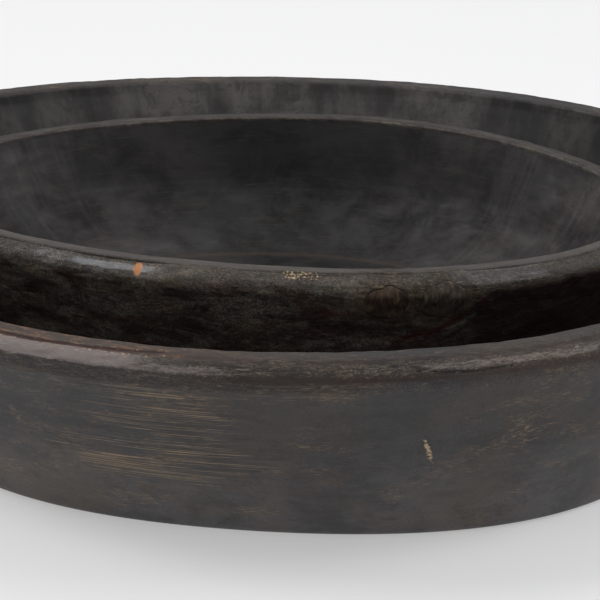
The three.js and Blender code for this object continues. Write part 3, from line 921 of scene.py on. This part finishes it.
def mark_inner(s, outside):
    """The masks by which the small bowl's material tells its places apart."""
    level = s.flat[..., 2]
    front = s.between(-160.0, -20.0, 20.0)
    s.mask("inside", smooth(0.0, 3.0, s.inside))
    lip = s.band(-0.2, INNER["lip"] - 4.0, 0.8) * (1.0 - smooth(0.5, 2.0, s.inside))
    s.mask("lip", lip)
    # front also paints the lip darker, as shade, on its back half
    s.mask("front", front)
    s.mask("polished", 0.2 * s.band(-7.0, -3.0, 2.0) * front)
    for name, strength, band, sector in INNER_STRIPES:
        s.mask(name, strength * s.band(*band) * s.between(*sector))
    for name, strength, patch in INNER_PATCHES:
        s.mask(name, strength * s.patch(*patch) * outside)
    # painted shadow: dark red along the hollow below the right knot
    red = s.line(RED_SHADOW, level) + 1.2 * noise(s.flat, 3.0, 41)
    s.mask("red", (1.0 - smooth(0.3, 2.0, red)) * outside)
    # painted highlight: the pale crescent
    s.mask("crescent", (1.0 - smooth(1.0, 2.2, s.line(CRESCENT, level))) * outside)
    s.mask("fibrous", 0.3 * outside * front)
    # painted shade at the foot of the outside
    s.mask("low", outside * (1.0 - smooth(40.0, 58.0, level)))
    s.mask("gold", 0.1 * s.band(-9.0, -1.0, 2.0) * front)
    s.mask("scored", 0.008 * smooth(2.0, 8.0, s.inside))
    s.mask("shoulder", s.band(-9.0, 0.0, 1.5) * (1.0 - 0.35 * s.between(-115.0, -72.0, 10.0)))
    # painted shade on the right side of the outside, below the shoulder
    s.mask("dark", outside * s.between(-51.0, 40.0, 9.0) * (1.0 - s.band(-9.0, 2.0, 1.5)))
    # painted light at the inside's two ends
    s.mask("ends", (s.inside > 2.0) * np.abs(np.cos(s.angle)) ** 2)
    ring = np.exp(-(((s.r[:, None] - 71.0) / 1.6) ** 2)) * (s.inside > 12.0)
    s.mask("ring", ring * s.between(25.0, 135.0, 15.0))


def make_inner():
    angles = uneven_angles(columns=950, close=2.6, middle=-65.0, reach=16.0)
    s = Surface(INNER, inner_corners(INNER), 0.42, angles)
    outside = smooth(0.0, 3.0, -s.out)
    shape_inner(s, outside)
    for knot in KNOTS.values():
        cut_pocket(s, knot)
    mark_inner(s, outside)
    sink(s, "chip_off", spot(s, -116.7, -5.0, wide=2.2, high=4.6, tilt=-0.2))
    return s.build("small_bowl_wood")


def knot_frame(knot):
    """The knot's axes (along the wall, up it, out of it) and the middle of its face."""
    radius, z = knot["at"]

    def point(turn):
        angle = np.array(math.radians(knot["angle"] + turn))
        return carve(INNER, np.array(radius), np.array(z), angle)

    along = point(1.0) - point(-1.0)
    along = Vector((along[0], along[1], 0.0)).normalized()
    level = Vector((along.y, -along.x, 0.0))
    facing = Matrix.Rotation(math.radians(knot["lean"]), 3, along) @ level
    upright = facing.cross(along)
    axes = np.array([along, upright, facing])
    return axes, point(0.0)


def in_knot(points, knot):
    """Points in a knot's own frame, its height scaled so that its outline is round."""
    axes, middle = knot_frame(knot)
    local = (points - middle) @ axes.T
    local[..., 1] /= knot["stretch"]
    return local


def knot_edge(knot, turn):
    """How far out a knot's uneven outline is, as a share of its radius."""
    lobes = [(1, 0.1, -90), (2, 0.08, 0), (3, 0.03, knot["angle"]), (5, 0.025, 10), (7, 0.015, 30)]
    return 1.0 + waves(lobes, turn)


def cut_pocket(s, knot):
    """Swells the wall round a knot, ripples its grain, and sinks it where the knot sits.

    The swollen wall's places are kept in knot["wall"] for the knot's own face.
    """
    local = in_knot(s.points, knot)
    turn = np.arctan2(local[..., 1], local[..., 0])
    far = np.hypot(local[..., 0], local[..., 1]) / (knot["radius"] * knot_edge(knot, turn))
    near = (s.out < 3.0) & (np.abs(local[..., 2]) < 9.0)
    ripple = np.sin(9.0 * far + 0.8 * noise(s.flat, 5.0, 21)) * np.exp(-((far - 1.45) / 0.4) ** 2)
    s.push(near * (knot["swell"] * np.exp(-((far / 1.5) ** 2)) + 0.2 * ripple))
    knot["wall"] = in_knot(s.points, knot)[near & (far < 1.5)]
    s.push(-POCKET * near * (1.0 - smooth(0.86, 0.98, far)))
    s.mask("knotty", near * (1.0 - smooth(1.05, 1.7, far)))
    s.mask("fibrous", 0.8 * near * (1.0 - smooth(1.3, 2.2, far)))


def wall_over(knot, x, y):
    """How far out the small bowl's wall is, at places in a knot's frame."""
    wall = knot["wall"]
    gap = (x.ravel()[:, None] - wall[:, 0]) ** 2 + (y.ravel()[:, None] - wall[:, 1]) ** 2
    share = 1.0 / (gap + 0.05) ** 2
    return ((share @ wall[:, 2]) / share.sum(axis=1)).reshape(x.shape)


def make_knot(name, knot, seed):
    """An oval plug whose rough face follows the wall round it."""
    rings, columns = 60, 140
    face_share, overlap, taper = 0.75, 1.02, 0.27
    turn = np.linspace(0.0, 2.0 * math.pi, columns, endpoint=False)[None, :]
    share = np.linspace(0.0, 1.0, rings)[:, None]
    face = np.minimum(share / face_share, 1.0)
    side = np.clip((share - face_share) / (1.0 - face_share), 0.0, 1.0)
    radius = knot["radius"] * knot_edge(knot, turn) * (overlap * face - taper * side)
    x, y = radius * np.cos(turn), radius * np.sin(turn)
    flat = np.stack([x, y, 0.0 * x], axis=-1)
    rough = unevenness(flat, [(0.3, 3.2, seed), (0.2, (0.7, 3.5, 1.0), seed + 1)])
    rough *= 1.0 - smooth(0.8, 1.0, face)
    rise = knot["dome"] * (1.0 - face ** 3) - 0.18 * smooth(0.95, 1.0, face)
    z = wall_over(knot, x, y) + (rough + rise) * (1.0 - side) - KNOT_SUNK * side
    local = np.stack([x, y * knot["stretch"], z], axis=-1)
    axes, middle = knot_frame(knot)
    points = local @ axes + middle
    index = np.arange(rings * columns).reshape(rings, columns)[1:]
    ahead = np.roll(index, -1, axis=1)
    quads = np.stack([index[:-1], index[1:], ahead[1:], ahead[:-1]], axis=-1).reshape(-1, 4)
    tips = [points[0, 0], points[-1].mean(axis=0)]
    vertices = np.concatenate([points[1:].reshape(-1, 3), tips])
    top, end = (rings - 1) * columns, (rings - 1) * columns + 1
    caps = [(top, int(a), int(b)) for a, b in zip(index[0] - columns, ahead[0] - columns)]
    caps += [(end, int(b), int(a)) for a, b in zip(index[-1] - columns, ahead[-1] - columns)]
    return add_fine(name, vertices, (quads - columns).tolist() + caps)


def place_piece(piece, material, body, node):
    piece.data.materials.append(material)
    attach(piece, body)
    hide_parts(node)


place_piece(make_outer(), outer_wood(), "large_bowl", "outer_bowl")
place_piece(make_inner(), inner_wood(), "small_bowl", "inner_bowl")
for number, (node, tones) in enumerate(KNOT_TONES.items()):
    knot_piece = make_knot(node + "_wood", KNOTS[node], 31 + 10 * number)
    place_piece(knot_piece, knot_wood(node + "_wood", *tones), "small_bowl", node)


# Studio --------------------------------------------------------------------------------------

def make_floor():
    mesh = bpy.data.meshes.new("studio_floor")
    reach = 14.0
    corners = [(-reach, -reach, 0), (reach, -reach, 0), (reach, reach, 0), (-reach, reach, 0)]
    mesh.from_pydata(corners, [], [(0, 1, 2, 3)])
    floor = add_object("studio_floor", mesh)
    mesh.materials.append(floor_paper())


def make_light(name, place, aim, size, power):
    """A rectangular soft light at place, facing aim."""
    data = bpy.data.lights.new(name, "AREA")
    data.shape = "RECTANGLE"
    data.size, data.size_y = size
    data.energy = power
    light = bpy.data.objects.new(name, data)
    light.location = place
    light.rotation_euler = (Vector(aim) - Vector(place)).to_track_quat("-Z", "Y").to_euler()
    bpy.context.scene.collection.objects.link(light)


def make_world(shown, given, front):
    """A plain surround that looks as bright as shown and lights the scene by given.

    From the front, -Y, it gives only as much light as front.
    """
    world = bpy.data.worlds.new("studio")
    bpy.context.scene.world = world
    world.use_nodes = True
    tree = world.node_tree
    way = tree.nodes.new("ShaderNodeTexCoord")
    parts = tree.nodes.new("ShaderNodeSeparateXYZ")
    tree.links.new(way.outputs["Generated"], parts.inputs[0])
    light = tree.nodes.new("ShaderNodeMapRange")
    light.interpolation_type = "SMOOTHSTEP"
    light.inputs["From Min"].default_value = -0.95
    light.inputs["From Max"].default_value = -0.2
    light.inputs["To Min"].default_value = front
    light.inputs["To Max"].default_value = given
    tree.links.new(parts.outputs["Y"], light.inputs["Value"])
    path = tree.nodes.new("ShaderNodeLightPath")
    level = tree.nodes.new("ShaderNodeMix")
    level.inputs["B"].default_value = shown
    tree.links.new(light.outputs["Result"], level.inputs["A"])
    tree.links.new(path.outputs["Is Camera Ray"], level.inputs["Factor"])
    background = tree.nodes["Background"]
    background.inputs["Color"].default_value = (1.0, 1.0, 1.0, 1.0)
    tree.links.new(level.outputs["Result"], background.inputs["Strength"])


def make_camera(place, pitch, roll, lens):
    """A camera at place that looks along +Y, tipped down by pitch and rolled, in radians."""
    forward = Vector((0.0, math.cos(pitch), -math.sin(pitch)))
    up = Vector((0.0, math.sin(pitch), math.cos(pitch)))
    right = Vector((1.0, 0.0, 0.0))
    across = right * math.cos(roll) + up * math.sin(roll)
    above = up * math.cos(roll) - right * math.sin(roll)
    data = bpy.data.cameras.new("camera")
    data.lens = lens
    data.sensor_width = 36.0
    camera = bpy.data.objects.new("camera", data)
    turn = Matrix((across, above, -forward)).transposed().to_4x4()
    camera.matrix_world = Matrix.Translation(place) @ turn
    bpy.context.scene.collection.objects.link(camera)
    bpy.context.scene.camera = camera


# Each light is (name, place, what it faces, width and height, watts).
LIGHTS = [
    ("front", (0.0, -1.1, 1.6), (0.0, -0.3, 0.0), (1.8, 0.8), 6.5),
    ("top", (-0.1, 0.1, 1.7), (0.0, 0.0, 0.0), (1.2, 0.4), 2.5),
    ("left", (-1.2, -0.15, 1.4), (0.0, 0.0, 0.05), (0.6, 0.45), 8.8),
    ("right", (1.3, -0.15, 1.3), (0.0, 0.0, 0.05), (0.6, 0.45), 6.0),
    ("low_left", (-1.6, 0.5, 0.5), (0.0, 0.0, 0.06), (0.9, 0.6), 3.0),
    ("low_right", (1.6, 0.5, 0.5), (0.0, 0.0, 0.06), (0.9, 0.6), 3.0),
    ("back", (0.0, 1.1, 1.6), (0.0, 0.7, 0.0), (2.0, 0.8), 7.0),
]

make_floor()
make_world(shown=0.79, given=0.46, front=0.2)
for light in LIGHTS:
    make_light(*light)
make_camera(place=(0.00624, -0.9462, 0.3673), pitch=0.3391, roll=0.0172, lens=150.0)
bpy.context.scene.view_settings.view_transform = "Standard"
